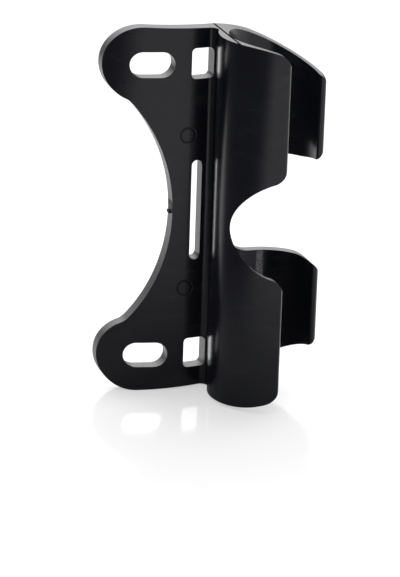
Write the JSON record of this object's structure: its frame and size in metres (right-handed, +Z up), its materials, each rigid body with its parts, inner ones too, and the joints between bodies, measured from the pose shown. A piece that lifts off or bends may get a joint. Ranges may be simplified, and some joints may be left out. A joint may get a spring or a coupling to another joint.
{
  "type": "bike pump holder",
  "caption": "Moulded bracket that bolts under a bottle cage on its slotted plate and grips a mini pump in an open clip.",
  "frame": {"origin": "midway between the two screw slots, on the back of the plate, which seats on the bicycle frame", "axes": "+Z up along the pump and the line of slots, +X along the plate towards the clip, +Y into the bicycle frame along the screws"},
  "size_m": [0.0456, 0.0258, 0.08],
  "materials": {
    "plastic": "satin black, injection moulded"
  },
  "bodies": {
    "root": {"pump_holder": "plastic"}
  },
  "joints": []
}
